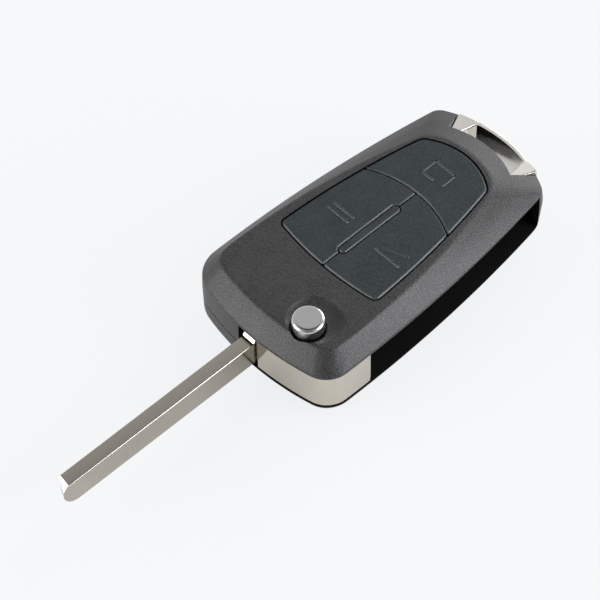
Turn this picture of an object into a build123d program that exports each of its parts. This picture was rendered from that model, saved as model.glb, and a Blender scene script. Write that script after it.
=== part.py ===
from build123d import *
import os
from math import cos, radians, sin

# Flip key with a three-key remote, in millimetres.
# Z is up from the flat back, X runs along the body with the open blade towards -X.
# The origin is on the pivot axis, at the flat back.

# Housing, outside
body_width = 37.8
body_thickness = 16.6
body_front = -7.4            # front of the housing, on its centre line
body_rear = 60.2             # back of the key-ring loop, on the centre line
centre_y = 8.3               # the pivot stands this far off the centre line
widest_x = 5.0
side_radius = 300.0
front_radius = 62.0
rear_radius = 28.0
pivot_corner = 5.5
free_corner = 7.2            # the front corner with no pivot under it
rear_corner = 3.0

# Height levels of the outside, and how far each lies inside the widest outline
back_inset = 3.2
back_rear_inset = 2.4
low_edge_z = 3.0
low_edge_inset = 0.1
low_edge_rear_inset = 0.7
low_rear_corner = 4.5
widest_z = 9.6
shoulder_z = 12.3
shoulder_inset = 0.15
shoulder_rear_inset = 0.4
rim_z = 14.6
rim_inset = 1.65
rim_rear_inset = 5.4         # the top slopes down towards the key-ring loop
rim_rear_corner = 5.0

# Flat field on the top, inside the bevel
field_front = -3.6
field_width = 31.2
field_widest_x = 4.0
field_side_radius = 150.0
field_rear_radius = 20.0
field_rear = 50.3
field_front_corner = 3.6
field_free_corner = 4.2
field_rear_corner = 6.0

# Walls and levels inside
wall = 1.7
floor_z = 1.8
parting_z = 6.8
skin_z = 15.3                # underside of the top skin
cove_z = 12.0                # the room narrows above this, under the bevel
cove_inset = 3.0
groove_depth = 0.25
groove_height = 0.2
inner_wall = 1.2             # between the blade's room and the electronics

# Blade and its swing
blade_length = 54.1          # pivot axis to the tip, on the inner side
blade_thickness = 3.0
blade_height = 6.0
blade_offset = 8.5           # blade's middle plane, from the pivot axis
blade_z = 7.85               # middle of the blade's height
blade_tang = 2.0             # how far the tang runs behind the pivot's plane
blade_edge = 0.25
tip_slant = 0.5              # the end runs back by this for each mm across the blade
tip_round = 3.4
tip_bevel_start = 1.6        # on the top edge, behind the tip
tip_bevel_skew = 0.33
tip_bevel_slope = 1.33
swing_angle = 184.0
running_gap = 0.15
swing_gap = 0.5
tip_gap = 0.4
slot_end_z = 8.9             # above this the end of the blade's room slopes forward
slot_end_run = 1.9
window_gap = 1.4             # between the blade and the front window's edge

# Pivot block
head_height = 8.5
head_end_x = 6.8
head_hub_radius = 6.6
head_front_setback = 1.0     # the socket's mouth lies behind the housing's front
head_notch_y = 6.3
head_inset = 0.3
head_outer_wall = 0.5        # the socket's wall on the outer side of the blade
head_end_round = 1.2
collar_radius = 5.5
collar_height = 1.0
foot_radius = 4.5
foot_height = 1.1
bearing_gap = 0.05
bearing_depth = 1.0          # bearing bores are cut this far past the plate they are in
pin_radius = 0.9
pin_x = -3.8
pin_depth = 5.0
pin_sunk = 0.1

# Release button
button_radius = 3.2
button_proud = 2.4
button_edge = 0.45
button_travel = 1.8
flange_radius = 4.0
flange_height = 1.5
guide_gap = 0.08
lug_width = 2.0
lug_reach = 0.8
lug_gap = 0.1
lug_end_gap = 0.3
post_radius = 1.5
post_top = 12.8
post_bore_gap = 0.1
post_foot_gap = 0.2
post_end_gap = 0.5
dish_radius = 5.5
dish_depth = 0.7
dish_shift = 1.7
mouth_radius = 3.75
mouth_depth = 0.6

# Flip spring
spring_radius = 3.25
spring_wire = 0.7
spring_turns = 3.0
spring_end_gap = 0.02
seat_z = 4.4

# Key pad
pad_front = 11.6
pad_rear = 49.1
pad_width = 25.84
pad_widest_x = 8.0
pad_side_radius = 178.0
pad_front_radius = 69.0
pad_rear_radius = 14.2
pad_front_corner = 1.2
pad_rear_corner = 2.0
pad_gap = 0.25
pad_proud = 0.15
key_gap = 0.2
key_edge = 0.25
divider_x = 36.0
divider_radius = 23.2
bar_front = 16.0
bar_rear = 31.3
bar_width = 1.7
bar_end_flat = 0.05
flange_out = 0.55
flange_in = 0.3
key_flange = 0.7
key_travel = 0.4
tray_floor = 0.7
tray_ring = 0.6
tray_clear = 0.15
stem_radius = 1.3
stem_gap = 0.3
front_keys_x = 23.6
front_keys_y = 5.9
rear_key_x = 41.5

# Circuit board and what stands on it
board_top = 10.2
board_thickness = 1.0
board_front = 13.9
board_rear = 49.6
board_gap = 0.3
switch_length = 4.4
switch_width = 3.8
switch_height = 1.2
plunger_radius = 0.9
stem_end_gap = 0.1           # from a pressed cap's stem to the switch
plunger_room = 0.1
plunger_sunk = 0.1
switch_well = 0.3            # the plunger's well reaches this far below its pressed end

# Coin cell and its contacts
cell_radius = 10.0
cell_height = 3.2
cell_x = 33.0
cell_y = 10.6
cell_z = 2.6
cell_lip = 1.2
cell_lip_drop = 0.1
seat_rib = 0.8
seat_gap = 0.15
seat_opening = 8.0           # the ring of the seat is open for the contacts
seat_drop = 0.6
strip = 0.25
strip_width = 3.0
positive_tip_reach = 4.0     # distances from the cell's middle
positive_bend_reach = 7.0
positive_rise_gap = 0.7
negative_pad_reach = 9.0
negative_bend_reach = 5.0
negative_tip_reach = 2.0

# Key-ring loop
loop_bottom = 3.6
loop_top = 12.8
loop_inset = 0.15
loop_band = 1.0
loop_edge = 0.35
notch_x = 54.9               # crown of the housing's curved end
notch_radius = 18.0
shoulder_half = 8.4
shoulder_back = 1.9          # the shoulders start this far ahead of the crown
shoulder_flare_x = 4.9
shoulder_flare_y = 2.35
bar_depth = 2.2
loop_gap = 0.1
slot_half = 7.3
slot_taper = 1.3

# Sealed immobiliser block
transponder_size = (11.6, 5.8, 3.0)
transponder_x = 3.6
transponder_side = 8.6       # its middle, from the housing's widest line
transponder_corner = 0.8

# Soldered pieces under the board: place in X and Y, then length, width and height
control_chip = (18.0, centre_y + body_width / 2 - 7.2, 5.0, 5.0, 1.1)
antenna_coil = (18.5, 3.5, 6.5, 3.0, 2.6)
crystal = (18.0, 13.0, 3.2, 2.5, 0.9)

body_top = body_thickness
fold = radians(swing_angle - 180)
fold_dir = (cos(fold), sin(fold))
fold_side = (sin(fold), -cos(fold))
head_bottom = blade_z - head_height / 2
head_top = blade_z + head_height / 2
room_bottom = head_bottom - running_gap
room_top = head_top + running_gap
room_radius = (head_end_x**2 + (centre_y - body_width / 2)**2)**0.5 + swing_gap
blade_inner = blade_offset - blade_thickness / 2
blade_outer = blade_offset + blade_thickness / 2
window_edge_y = blade_outer + window_gap
tip_swing = (blade_length**2 + blade_inner**2)**0.5 + tip_gap
tray_grow = flange_out + tray_clear + tray_ring
key_flange_top = skin_z - tray_clear
key_flange_bottom = key_flange_top - key_flange
tray_top = key_flange_bottom - key_travel - tray_clear
tray_bottom = tray_top - tray_floor
tray_pocket_z = tray_bottom - tray_clear
plunger_rise = key_travel + stem_end_gap
plunger_top = board_top + switch_height + plunger_rise
transponder_y = centre_y + body_width / 2 - transponder_side
far = 200.0


def disc(x, y, radius):
    return Pos(x, y) * Circle(radius)


def bowed_outline(front, rear, width, middle_x, sides, nose, tail, nose_corners, tail_corner, inset=0.0):
    """Area inside two shallow side arcs, a nose arc and a tail arc, with rounded corners."""
    rise = sides - width / 2
    area = disc(middle_x, centre_y + rise, sides - inset)
    area &= disc(middle_x, centre_y - rise, sides - inset)
    nose_x = front + nose
    tail_x = rear - tail
    area &= disc(nose_x, centre_y, nose - inset) + Pos(nose_x + far, centre_y) * Rectangle(2 * far, 2 * far)
    area &= disc(tail_x, centre_y, tail - inset) + Pos(tail_x - far, centre_y) * Rectangle(2 * far, 2 * far)
    for end, radius in zip((0, -1), nose_corners):
        front_pair = area.vertices().sort_by(Axis.X)[:2]
        area = fillet(front_pair.sort_by(Axis.Y)[end], radius - inset)
    return fillet(area.vertices().sort_by(Axis.X)[-2:], tail_corner - inset)


def body_outline(inset=0.0, rear_inset=None, corner=rear_corner):
    """Plan of the housing, the rear at an inset of its own where the level slopes there."""
    rear = body_rear if rear_inset is None else body_rear + inset - rear_inset
    return bowed_outline(body_front, rear, body_width, widest_x, side_radius, front_radius,
                         rear_radius, (pivot_corner, free_corner), corner + inset, inset)


def field_outline():
    return bowed_outline(field_front, field_rear, field_width, field_widest_x, field_side_radius,
                         front_radius, field_rear_radius, (field_front_corner, field_free_corner),
                         field_rear_corner)


def pad_outline(inset=0.0):
    return bowed_outline(pad_front, pad_rear, pad_width, pad_widest_x, pad_side_radius, pad_front_radius,
                         pad_rear_radius, (pad_front_corner, pad_front_corner), pad_rear_corner, inset)


def slab(area, low, high):
    return Pos(0, 0, low) * extrude(area, high - low)


def block(x0, x1, y0, y1, z0, z1):
    return Pos((x0 + x1) / 2, (y0 + y1) / 2, (z0 + z1) / 2) * Box(x1 - x0, y1 - y0, z1 - z0)


def column(radius, low, high, x=0.0, y=0.0):
    return Pos(x, y, (low + high) / 2) * Cylinder(radius, high - low)


def along_fold(distance, offset):
    """Point at a distance along the folded blade and an offset to its outer side."""
    return (distance * fold_dir[0] + offset * fold_side[0], distance * fold_dir[1] + offset * fold_side[1])


def hull():
    """Solid of the closed housing, loop end included."""
    levels = [
        (0.0, body_outline(back_inset, back_rear_inset, low_rear_corner)),
        (low_edge_z, body_outline(low_edge_inset, low_edge_rear_inset, low_rear_corner)),
        (widest_z, body_outline()),
        (shoulder_z, body_outline(shoulder_inset, shoulder_rear_inset)),
        (rim_z, body_outline(rim_inset, rim_rear_inset, rim_rear_corner)),
        (body_top, field_outline()),
    ]
    return loft([Pos(0, 0, z) * area for z, area in levels], ruled=True)


def swing_room(grow=0.0):
    """Plan area that the head and the folding blade sweep or rest in."""
    area = disc(0, 0, room_radius + grow)
    area += Pos(-far / 2, (window_edge_y + grow - far) / 2) * Rectangle(far, window_edge_y + grow + far)
    inner = blade_inner - swing_gap - grow
    corners = [along_fold(0, inner), along_fold(far, inner), along_fold(far, far), along_fold(0, far)]
    area += make_face(Polyline(*corners, close=True)) & disc(0, 0, tip_swing + grow)
    return area


def between_shoulders(grow=0.0):
    """Plan area that widens rearwards between the housing's two shoulders."""
    half = shoulder_half + grow
    bend = notch_x - shoulder_back
    flared_x = bend + 3 * shoulder_flare_x
    flared_half = half + 3 * shoulder_flare_y
    corners = [(bend - notch_radius, half), (bend, half), (flared_x, flared_half)]
    corners += [(x, -y) for x, y in reversed(corners)]
    return Pos(0, centre_y) * make_face(Polyline(*corners, close=True))


def notch_disc(grow=0.0):
    return disc(notch_x - notch_radius, centre_y, notch_radius + grow)


def room_solid():
    """Room for the head and the blade, its far end sloped like the blade's tip."""
    high = room_top + 1
    run = slot_end_run * (high - slot_end_z) / (room_top - slot_end_z)
    slope = make_face(Polyline((tip_swing, slot_end_z), (tip_swing, high), (tip_swing - run, high), close=True))
    end = Rot(0, 0, swing_angle - 180) * extrude(Plane.XZ * slope, far)
    return slab(swing_room(), room_bottom, room_top) - end


def works_area(inset=wall):
    """Plan area of the room for the board, the cell and the immobiliser block."""
    area = body_outline(inset) - swing_room(inner_wall)
    rear_wall = notch_x - bar_depth - loop_gap - wall
    area -= Pos(rear_wall + far / 2, centre_y) * Rectangle(far, far)
    return max(area.faces(), key=lambda face: face.area)


def loop_plan():
    """Closed metal frame: outer band, two ends and a front bar inside the housing."""
    frame = (body_outline(loop_inset) & between_shoulders(-loop_gap)) - notch_disc(-bar_depth)
    near = notch_x - shoulder_back
    corners = [(near - bar_depth, slot_half), (near, slot_half), (body_rear, slot_half - slot_taper)]
    corners += [(x, -y) for x, y in reversed(corners)]
    slot = Pos(0, centre_y) * make_face(Polyline(*corners, close=True))
    slot &= disc(body_rear - rear_radius, centre_y, rear_radius - loop_band)
    return frame - (slot - notch_disc(-loop_gap))


def keyring_loop():
    loop = slab(loop_plan(), loop_bottom, loop_top)
    outer = [edge for edge in loop.edges() if edge.center().X > body_rear - loop_edge - loop_inset
             and abs(edge.center().Y - centre_y) < 1 and edge.length > slot_half]
    return chamfer(outer, loop_edge)


def loop_pocket():
    """Room in the shells for the loop: open behind, and a groove for its front bar."""
    behind = between_shoulders() - notch_disc()
    bar = (between_shoulders() & notch_disc(1)) - notch_disc(-bar_depth - loop_gap)
    return slab(behind, -1, body_top + 1) + slab(bar, loop_bottom - loop_gap, loop_top + loop_gap)


def parting_groove():
    ring = body_outline(-2) - body_outline(groove_depth)
    return slab(ring, parting_z - groove_height / 2, parting_z + groove_height / 2)


def upper_shell(outside):
    shell = outside & slab(Rectangle(far, far), parting_z, body_top + 1)
    shell -= slab(works_area(), parting_z - 1, cove_z)
    shell -= slab(works_area(cove_inset), parting_z, tray_pocket_z + tray_floor)
    shell -= slab(pad_outline(-tray_grow - tray_clear), tray_pocket_z, skin_z)
    shell -= room_solid()
    shell -= loop_pocket()
    shell -= slab(pad_outline(-pad_gap), skin_z - 1, body_top + 1)
    sphere_radius = (dish_radius**2 + dish_depth**2) / (2 * dish_depth)
    shell -= Pos(dish_shift, 0, body_top - dish_depth + sphere_radius) * Sphere(sphere_radius)
    shell -= column(mouth_radius, body_top - dish_depth - mouth_depth, body_top + 1)
    shell -= column(button_radius + guide_gap, head_top, body_top)
    shell -= column(collar_radius + bearing_gap, head_top - bearing_depth,
                    head_top + collar_height + running_gap)
    shell -= parting_groove()
    return shell


def cell_seat():
    bore = cell_radius + seat_gap
    ring = disc(cell_x, cell_y, bore + seat_rib) - disc(cell_x, cell_y, bore)
    ring -= Pos(cell_x, cell_y) * Rectangle(far, seat_opening)
    ring -= Pos(cell_x, cell_y) * Rectangle(seat_opening, far)
    return slab(ring, floor_z, cell_z + cell_height - seat_drop)


def lower_shell(outside):
    shell = outside & slab(Rectangle(far, far), -1, parting_z)
    shell -= slab(works_area(), floor_z, parting_z + 1)
    shell -= room_solid()
    shell -= loop_pocket()
    shell -= column(foot_radius + bearing_gap, head_bottom - foot_height - running_gap,
                    head_bottom + bearing_depth)
    shell += column(post_radius, head_bottom - foot_height - running_gap, post_top)
    shell += cell_seat()
    shell -= parting_groove()
    return shell


def blade_head():
    low, high = head_bottom, head_top
    corner = body_outline(head_inset) & (Pos(head_end_x - far / 2, head_notch_y - far / 2) *
                                         Rectangle(far, far))
    corner -= Pos(far / 2, far / 2) * Rectangle(far, far)
    socket_y = blade_outer + head_outer_wall
    socket = Pos((body_front + head_front_setback + blade_tang) / 2, socket_y / 2) * Rectangle(
        blade_tang - body_front - head_front_setback, socket_y)
    plan = corner + disc(0, 0, head_hub_radius) + socket
    plan = plan & (Pos(0, blade_outer + head_outer_wall - far / 2) * Rectangle(far, far))
    plan = plan & body_outline(head_inset)
    outer_corner = [v for v in plan.vertices() if abs(v.X - head_end_x) < 0.01 and v.Y < -head_hub_radius]
    plan = fillet(outer_corner, head_end_round)
    head = slab(plan, low, high)
    head += column(collar_radius, high, high + collar_height)
    head += column(foot_radius, low - foot_height, low)
    bore = flange_radius + guide_gap
    head -= column(bore, seat_z, high + collar_height + 1)
    keyway = lug_width / 2 + lug_gap
    keyway_bottom = high + collar_height - flange_height - button_travel - lug_end_gap
    keyway_end = bore + lug_reach
    head -= block(-keyway, keyway, -keyway_end, keyway_end, keyway_bottom, high + collar_height + 1)
    head -= column(post_radius + post_foot_gap, low - foot_height - 1, seat_z + 1)
    head -= block(body_front - 1, blade_tang, blade_inner, blade_outer,
                  blade_z - blade_height / 2, blade_z + blade_height / 2)
    head -= pin_solid()
    return head


def pin_solid():
    middle_y = blade_outer - pin_sunk - pin_depth / 2
    return Pos(pin_x, middle_y, blade_z) * Rot(90, 0, 0) * Cylinder(pin_radius, pin_depth)


def tip_waste():
    """What is cut off the blank's end: a slant across the blade and a skewed bevel on its top edge."""
    tip = -blade_length
    run = 2 * blade_thickness
    slant = Polyline((tip, blade_inner), (tip + tip_slant * run, blade_inner + run),
                     (tip - run, blade_inner + run), (tip - run, blade_inner), close=True)
    waste = slab(make_face(slant), 0, body_top)
    high = blade_z + blade_height / 2
    low = high - tip_bevel_slope * run
    bevel = []
    for y in (blade_inner - 1, blade_outer + 1):
        start = tip + tip_bevel_start + tip_bevel_skew * (y - blade_inner)
        wedge = Polyline((start, high), (start - run, low), (start - 2 * run, low), (start - 2 * run, high + 1),
                         (start, high + 1), close=True)
        bevel.append(Plane.XZ.offset(-y) * make_face(wedge))
    return waste + loft(bevel, ruled=True)


def key_blade():
    low = blade_z - blade_height / 2
    high = blade_z + blade_height / 2
    blade = block(-blade_length, blade_tang, blade_inner, blade_outer, low, high)
    tip_corner = blade.edges().filter_by(Axis.Y).sort_by(Axis.X)[:2].sort_by(Axis.Z)[0]
    blade = fillet(tip_corner, tip_round)
    long_edges = [e for e in blade.edges().filter_by(Axis.X) if e.length > blade_length / 2]
    blade = chamfer(long_edges, blade_edge)
    return blade - tip_waste() - pin_solid()


def release_button():
    top = body_top + button_proud
    flange_top = head_top + collar_height
    button = column(button_radius, flange_top - flange_height, top)
    button = chamfer(button.faces().sort_by(Axis.Z)[-1].edges(), button_edge)
    button += column(flange_radius, flange_top - flange_height, flange_top)
    button += block(-lug_width / 2, lug_width / 2, -flange_radius - lug_reach, flange_radius + lug_reach,
                    flange_top - flange_height, flange_top)
    button -= column(post_radius + post_bore_gap, 0, post_top + button_travel + post_end_gap)
    return button


def flip_spring():
    rise = head_top + collar_height - flange_height - seat_z
    height = rise - spring_wire - 2 * spring_end_gap
    start = seat_z + spring_wire / 2 + spring_end_gap
    path = Pos(0, 0, start) * Helix(height / spring_turns, height, spring_radius)
    section = Plane(path @ 0, z_dir=path % 0) * Rectangle(spring_wire, spring_wire)
    return sweep(section, path, is_frenet=True)


def divider_disc(grow=0.0):
    return disc(divider_x - divider_radius, centre_y, divider_radius + grow)


def cap_share(area, which):
    """The part of an area that lies on one cap's side of the gaps between the caps."""
    half_gap = key_gap / 2
    if which == "rear":
        return area - divider_disc(half_gap)
    side = 1 if which == "left" else -1
    half = Pos(0, centre_y + side * (half_gap + far / 2)) * Rectangle(far, far)
    return area & divider_disc(-half_gap) & half


def key_area(which):
    """Plan area of one key cap."""
    area = cap_share(pad_outline(), which)
    return area if which == "rear" else area - bar_area(key_gap)


def bar_area(grow=0.0):
    return Pos((bar_front + bar_rear) / 2, centre_y) * RectangleRounded(
        bar_rear - bar_front + 2 * grow, bar_width + 2 * grow, bar_width / 2 + grow - bar_end_flat)


def key_place(which):
    if which == "rear":
        return rear_key_x, centre_y
    return front_keys_x, centre_y + (front_keys_y if which == "left" else -front_keys_y)


def key_cap(which):
    top = body_top + pad_proud
    area = key_area(which)
    cap = slab(area, key_flange_bottom, top)
    cap = chamfer(cap.faces().sort_by(Axis.Z)[-1].edges(), key_edge)
    skirt = cap_share(pad_outline(-flange_out) - pad_outline(flange_in), which)
    cap += slab(skirt, key_flange_bottom, key_flange_top)
    x, y = key_place(which)
    cap += column(stem_radius, plunger_top, key_flange_bottom, x, y)
    return cap


def key_frame():
    tray = slab(pad_outline(-tray_grow), tray_bottom, tray_top)
    tray += slab(pad_outline(-tray_grow) - pad_outline(tray_ring - tray_grow), tray_top, skin_z)
    tray += slab(bar_area(), tray_top, body_top + pad_proud)
    for which in ("left", "right", "rear"):
        x, y = key_place(which)
        half = stem_radius + stem_gap
        tray -= block(x - half, x + half, y - half, y + half, 0, tray_top + 1)
    return tray


def switch_case(which):
    x, y = key_place(which)
    case = block(x - switch_length / 2, x + switch_length / 2, y - switch_width / 2, y + switch_width / 2,
                 board_top, board_top + switch_height)
    well = board_top + switch_height - key_travel - switch_well
    return case - column(plunger_radius + plunger_room, well, plunger_top, x, y)


def switch_plunger(which):
    x, y = key_place(which)
    return column(plunger_radius, plunger_top - plunger_rise - plunger_sunk, plunger_top, x, y)


def circuit_board():
    area = works_area()
    area = area & (Pos((board_front + board_rear) / 2, centre_y) * Rectangle(board_rear - board_front, far))
    area = offset(area, -board_gap)
    return slab(area, board_top - board_thickness, board_top)


def coin_cell():
    cell = column(cell_radius, cell_z, cell_z + cell_height, cell_x, cell_y)
    lip = disc(cell_x, cell_y, cell_radius) - disc(cell_x, cell_y, cell_radius - cell_lip)
    top = cell_z + cell_height
    return cell - slab(lip, top - cell_lip_drop, top + 1)


def bent_strip(points, y):
    """Flat strip of spring metal whose side view follows the points, in X and Z."""
    side = Plane.XZ * trace_strip(points)
    return Pos(0, y + strip_width / 2, 0) * extrude(side, strip_width)


def trace_strip(points):
    line = Polyline(*points)
    upper = offset(line, strip / 2, side=Side.BOTH, kind=Kind.INTERSECTION)
    return make_face(upper)


def positive_contact():
    low = floor_z + strip / 2
    rise_x = cell_x - cell_radius - seat_gap - positive_rise_gap
    return bent_strip([(cell_x - positive_tip_reach, cell_z - strip / 2), (cell_x - positive_bend_reach, low),
                       (rise_x, low), (rise_x, board_top - board_thickness - strip)], cell_y)


def negative_contact():
    top = board_top - board_thickness - strip / 2
    low = cell_z + cell_height + strip / 2
    return bent_strip([(cell_x + negative_pad_reach, top), (cell_x + negative_bend_reach, top),
                       (cell_x + negative_tip_reach, low), (cell_x - negative_tip_reach, low)], cell_y)


def transponder_block():
    length, width, height = transponder_size
    body = Pos(transponder_x, transponder_y, floor_z + height / 2) * Box(length, width, height)
    return chamfer(body.edges().filter_by(Axis.Z), transponder_corner)


def board_piece(x, y, length, width, height):
    top = board_top - board_thickness
    return block(x - length / 2, x + length / 2, y - width / 2, y + width / 2, top - height, top)


outside = hull()
parts = {
    "upper_shell": upper_shell(outside),
    "lower_shell": lower_shell(outside),
    "key_frame": key_frame(),
    "keyring_loop": keyring_loop(),
    "blade_head": blade_head(),
    "key_blade": key_blade(),
    "blade_roll_pin": pin_solid(),
    "release_button": release_button(),
    "flip_spring": flip_spring(),
    "circuit_board": circuit_board(),
    "coin_cell": coin_cell(),
    "positive_contact": positive_contact(),
    "negative_contact": negative_contact(),
    "transponder_block": transponder_block(),
    "control_chip": board_piece(*control_chip),
    "antenna_coil": board_piece(*antenna_coil),
    "crystal": board_piece(*crystal),
}
for name in ("left", "right", "rear"):
    parts[name + "_key"] = key_cap(name)
    parts[name + "_switch"] = switch_case(name)
    parts[name + "_plunger"] = switch_plunger(name)

os.makedirs("parts", exist_ok=True)
for name, solid in parts.items():
    export_step(solid, "parts/" + name + ".step")
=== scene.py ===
from math import cos, pi, radians, sin

import bmesh
import bpy
import numpy as np
from mathutils import Matrix, Vector


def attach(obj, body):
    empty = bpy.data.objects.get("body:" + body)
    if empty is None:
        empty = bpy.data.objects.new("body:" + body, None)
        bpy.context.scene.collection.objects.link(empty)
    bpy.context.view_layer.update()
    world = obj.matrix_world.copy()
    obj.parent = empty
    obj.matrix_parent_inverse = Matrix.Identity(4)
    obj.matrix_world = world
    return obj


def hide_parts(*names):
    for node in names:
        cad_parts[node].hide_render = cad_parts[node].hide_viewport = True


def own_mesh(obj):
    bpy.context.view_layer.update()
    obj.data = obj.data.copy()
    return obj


# Flip key with a three-key remote. Sizes here are in millimetres and become metres in the meshes.
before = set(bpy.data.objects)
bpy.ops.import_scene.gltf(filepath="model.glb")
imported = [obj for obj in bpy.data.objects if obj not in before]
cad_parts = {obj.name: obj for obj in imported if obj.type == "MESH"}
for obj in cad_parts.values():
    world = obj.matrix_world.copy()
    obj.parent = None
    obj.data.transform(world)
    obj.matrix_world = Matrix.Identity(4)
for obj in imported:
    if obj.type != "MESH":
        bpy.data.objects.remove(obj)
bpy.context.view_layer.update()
print("frame loaded")

mm = 0.001
centreY = 8.3
beyond = 90.0  # farther along than any piece
aside = 60.0  # farther to the side than any piece


# Surfaces

noiseLow, noiseHigh = 0.36, 0.64
smoothest = 0.03


# Procedural surface: fine specks over broad patches of two colours, with relief and an uneven gloss.
def surface(name, colour, second, roughness, metallic=0.0, grain=0.15, speck=0.5, relief=0.02, patch=4.0,
            stretch=(1, 1, 1), spread=0.08, coat=0.0, shine=0.5):
    material = bpy.data.materials.new(name)
    material.use_nodes = True
    nodes, links = material.node_tree.nodes, material.node_tree.links
    shader = nodes["Principled BSDF"]
    shader.inputs["Metallic"].default_value = metallic
    shader.inputs["Coat Weight"].default_value = coat
    shader.inputs["Specular IOR Level"].default_value = shine
    place = nodes.new("ShaderNodeTexCoord")
    scale = nodes.new("ShaderNodeMapping")
    scale.inputs["Scale"].default_value = stretch
    links.new(place.outputs["Object"], scale.inputs["Vector"])
    noises = []
    for size, detail in ((grain, 2), (patch, 4)):
        noise = nodes.new("ShaderNodeTexNoise")
        noise.inputs["Scale"].default_value = 1 / (size * mm)
        noise.inputs["Detail"].default_value = detail
        links.new(scale.outputs["Vector"], noise.inputs["Vector"])
        clear = nodes.new("ShaderNodeMapRange")
        clear.inputs["From Min"].default_value = noiseLow
        clear.inputs["From Max"].default_value = noiseHigh
        links.new(noise.outputs["Fac"], clear.inputs["Value"])
        noises.append(clear)
    blend = nodes.new("ShaderNodeMix")
    blend.inputs["Factor"].default_value = speck
    links.new(noises[1].outputs["Result"], blend.inputs["A"])
    links.new(noises[0].outputs["Result"], blend.inputs["B"])
    tint = nodes.new("ShaderNodeMix")
    tint.data_type = "RGBA"
    tint.inputs["A"].default_value = (*colour, 1)
    tint.inputs["B"].default_value = (*second, 1)
    links.new(blend.outputs["Result"], tint.inputs["Factor"])
    links.new(tint.outputs["Result"], shader.inputs["Base Color"])
    gloss = nodes.new("ShaderNodeMapRange")
    gloss.inputs["To Min"].default_value = max(smoothest, roughness - spread)
    gloss.inputs["To Max"].default_value = roughness + spread
    links.new(blend.outputs["Result"], gloss.inputs["Value"])
    links.new(gloss.outputs["Result"], shader.inputs["Roughness"])
    bump = nodes.new("ShaderNodeBump")
    bump.inputs["Distance"].default_value = relief * mm
    links.new(noises[0].outputs["Result"], bump.inputs["Height"])
    links.new(bump.outputs["Normal"], shader.inputs["Normal"])
    return material


shellPlastic = surface("shellPlastic", (0.014, 0.014, 0.015), (0.040, 0.040, 0.041), 0.46,
                       grain=0.30, speck=0.8, relief=0.026, shine=0.46)
# Near-black painted shade for the slots, the gaps and the parting groove, where only shade falls.
paintedShade = surface("paintedShade", (0.002, 0.002, 0.002), (0.004, 0.004, 0.004), 0.85,
                     grain=0.5, relief=0.01, shine=0.15)
trayPlastic = surface("trayPlastic", (0.013, 0.018, 0.021), (0.028, 0.036, 0.041), 0.48,
                      grain=0.26, relief=0.016, shine=0.32)
keyRubber = surface("keyRubber", (0.013, 0.018, 0.021), (0.028, 0.036, 0.041), 0.46,
                    grain=0.26, speck=0.75, relief=0.018, shine=0.32)
# Lighter rubber for sloped faces: a painted highlight.
highlightRubber = surface("highlightRubber", (0.034, 0.040, 0.044), (0.058, 0.066, 0.070), 0.42,
                     grain=0.26, relief=0.006, shine=0.4)
satinNickel = surface("satinNickel", (0.53, 0.49, 0.42), (0.58, 0.54, 0.47), 0.13, 1.0,
                      grain=0.4, speck=0.3, relief=0.0008, patch=9, spread=0.03)
# A darker copy of the nickel for the blade: its darkness is painted shade, standing for the shadowed floor
# that the blade's sides mirror.
shadedBladeNickel = surface("shadedBladeNickel", (0.385, 0.357, 0.307), (0.435, 0.405, 0.352), 0.19, 1.0,
                      grain=0.28, speck=0.6, relief=0.0014, patch=6, stretch=(0.7, 1, 1), spread=0.04)
plating = surface("plating", (0.52, 0.51, 0.505), (0.57, 0.56, 0.555), 0.14, 1.0,
                  grain=0.4, speck=0.3, relief=0.0008, spread=0.03)
brightPlating = surface("brightPlating", (0.74, 0.705, 0.66), (0.80, 0.765, 0.72), 0.10, 1.0,
                        grain=0.4, speck=0.3, relief=0.0006, spread=0.03)
springSteel = surface("springSteel", (0.30, 0.30, 0.31), (0.42, 0.42, 0.43), 0.3, 1.0,
                      grain=0.2, relief=0.004)
cellSteel = surface("cellSteel", (0.55, 0.55, 0.56), (0.66, 0.66, 0.67), 0.3, 1.0,
                    grain=0.3, relief=0.002)
contactMetal = surface("contactMetal", (0.66, 0.50, 0.25), (0.76, 0.60, 0.33), 0.3, 1.0,
                       grain=0.3, relief=0.002)
boardLaminate = surface("boardLaminate", (0.02, 0.12, 0.055), (0.03, 0.17, 0.08), 0.3,
                        grain=0.5, relief=0.01, coat=0.4)
chipPlastic = surface("chipPlastic", (0.018, 0.018, 0.018), (0.032, 0.032, 0.032), 0.55,
                      grain=0.12, relief=0.01)


# Gives a shell or its cutter the outer plastic and a near-black material that paints shade; a cutter leaves
# that painted shade on the faces it cuts.
def plasticAndPaintedShade(made, paintShade=False):
    made.data.materials.append(shellPlastic)
    made.data.materials.append(paintedShade)
    made.data.polygons.foreach_set("material_index", [int(paintShade)] * len(made.data.polygons))
    return made


# Meshes and cutting

def meshObject(name, points, faces):
    mesh = bpy.data.meshes.new(name)
    mesh.from_pydata([tuple(v * mm for v in p) for p in points], [], faces)
    mesh.validate()
    made = bpy.data.objects.new(name, mesh)
    bpy.context.scene.collection.objects.link(made)
    return made


# Joins rings of equal length into a closed solid.
def skin(name, rings):
    count = len(rings[0])
    points = [tuple(p) for ring in rings for p in ring]
    faces = []
    for here in range(0, (len(rings) - 1) * count, count):
        there = here + count
        for i in range(count):
            j = (i + 1) % count
            faces.append((here + i, here + j, there + j, there + i))
    faces.append(tuple(reversed(range(count))))
    faces.append(tuple((len(rings) - 1) * count + i for i in range(count)))
    return meshObject(name, points, faces)


def prism(name, plan, low, high):
    return skin(name, [[(x, y, z) for x, y in plan] for z in (low, high)])


def circlePoints(x, y, radius, count):
    angles = [2 * pi * i / count for i in range(count)]
    return [(x + radius * cos(a), y + radius * sin(a)) for a in angles]


def rod(name, x, y, radius, low, high, count=96):
    return prism(name, circlePoints(x, y, radius, count), low, high)


def brick(name, x0, x1, y0, y1, z0, z1):
    return prism(name, [(x0, y0), (x1, y0), (x1, y1), (x0, y1)], z0, z1)


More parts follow.
